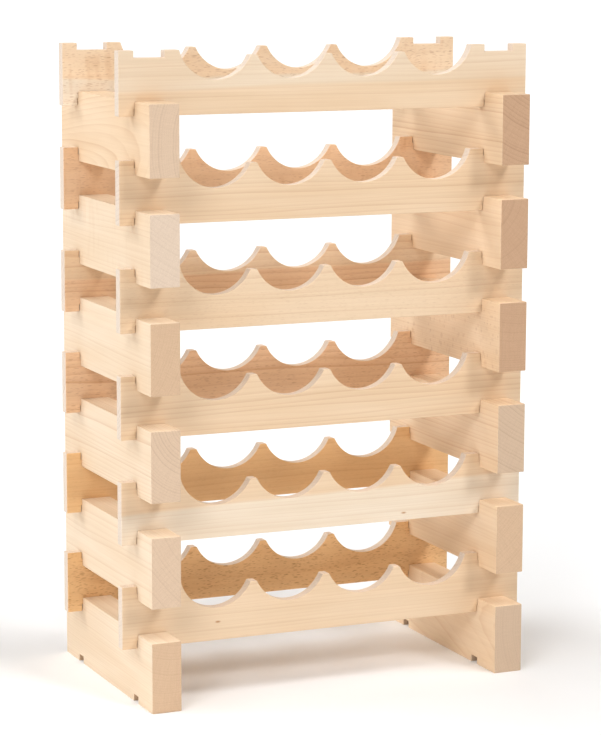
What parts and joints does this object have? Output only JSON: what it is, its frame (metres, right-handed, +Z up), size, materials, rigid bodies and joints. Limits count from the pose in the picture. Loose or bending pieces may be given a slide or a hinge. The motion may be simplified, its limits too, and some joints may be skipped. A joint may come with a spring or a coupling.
{
  "type": "wine rack",
  "caption": "Freestanding stacking wine rack of pale solid wood: scalloped bottle rails laid across notched side blocks, tier on tier, each bottle lying flat in two cradles.",
  "frame": {"origin": "middle of the footprint on the floor, in the plane of the undersides of the two bottom side blocks", "axes": "+Z up; the bottle rails run along X, left at -X and right at +X; the side blocks and the bottles run along Y, with the front of the rack facing -Y"},
  "size_m": [0.553, 0.32, 0.81],
  "materials": {
    "side_block_beech": "planed and sanded, unfinished satin",
    "front_rail_beech": "planed and sanded, unfinished satin",
    "rear_rail_beech": "planed and sanded, unfinished satin"
  },
  "bodies": {
    "blocks_1": {"block_1_left": "side_block_beech", "block_1_right": "side_block_beech"},
    "rails_1": {"rail_1_front": "front_rail_beech", "rail_1_rear": "rear_rail_beech"},
    "blocks_2": {"block_2_left": "side_block_beech", "block_2_right": "side_block_beech"},
    "rails_2": {"rail_2_front": "front_rail_beech", "rail_2_rear": "rear_rail_beech"},
    "blocks_3": {"block_3_left": "side_block_beech", "block_3_right": "side_block_beech"},
    "rails_3": {"rail_3_front": "front_rail_beech", "rail_3_rear": "rear_rail_beech"},
    "blocks_4": {"block_4_left": "side_block_beech", "block_4_right": "side_block_beech"},
    "rails_4": {"rail_4_front": "front_rail_beech", "rail_4_rear": "rear_rail_beech"},
    "blocks_5": {"block_5_left": "side_block_beech", "block_5_right": "side_block_beech"},
    "rails_5": {"rail_5_front": "front_rail_beech", "rail_5_rear": "rear_rail_beech"},
    "blocks_6": {"block_6_left": "side_block_beech", "block_6_right": "side_block_beech"},
    "rail_6_front": {"rail_6_front": "front_rail_beech"},
    "rail_6_rear": {"rail_6_rear": "rear_rail_beech"}
  },
  "joints": [
    {"name": "rails_1_lift", "type": "slide", "parent": "blocks_1", "child": "rails_1", "axis": [0, 0, 1], "range_m": [0, 0.05]},
    {"name": "blocks_2_lift", "type": "slide", "parent": "rails_1", "child": "blocks_2", "axis": [0, 0, 1], "range_m": [0, 0.05]},
    {"name": "rails_2_lift", "type": "slide", "parent": "blocks_2", "child": "rails_2", "axis": [0, 0, 1], "range_m": [0, 0.05]},
    {"name": "blocks_3_lift", "type": "slide", "parent": "rails_2", "child": "blocks_3", "axis": [0, 0, 1], "range_m": [0, 0.05]},
    {"name": "rails_3_lift", "type": "slide", "parent": "blocks_3", "child": "rails_3", "axis": [0, 0, 1], "range_m": [0, 0.05]},
    {"name": "blocks_4_lift", "type": "slide", "parent": "rails_3", "child": "blocks_4", "axis": [0, 0, 1], "range_m": [0, 0.05]},
    {"name": "rails_4_lift", "type": "slide", "parent": "blocks_4", "child": "rails_4", "axis": [0, 0, 1], "range_m": [0, 0.05]},
    {"name": "blocks_5_lift", "type": "slide", "parent": "rails_4", "child": "blocks_5", "axis": [0, 0, 1], "range_m": [0, 0.05]},
    {"name": "rails_5_lift", "type": "slide", "parent": "blocks_5", "child": "rails_5", "axis": [0, 0, 1], "range_m": [0, 0.05]},
    {"name": "blocks_6_lift", "type": "slide", "parent": "rails_5", "child": "blocks_6", "axis": [0, 0, 1], "range_m": [0, 0.05]},
    {"name": "rail_6_front_lift", "type": "slide", "parent": "blocks_6", "child": "rail_6_front", "axis": [0, 0, 1], "range_m": [0, 0.05]},
    {"name": "rail_6_rear_lift", "type": "slide", "parent": "blocks_6", "child": "rail_6_rear", "axis": [0, 0, 1], "range_m": [0, 0.05]}
  ]
}
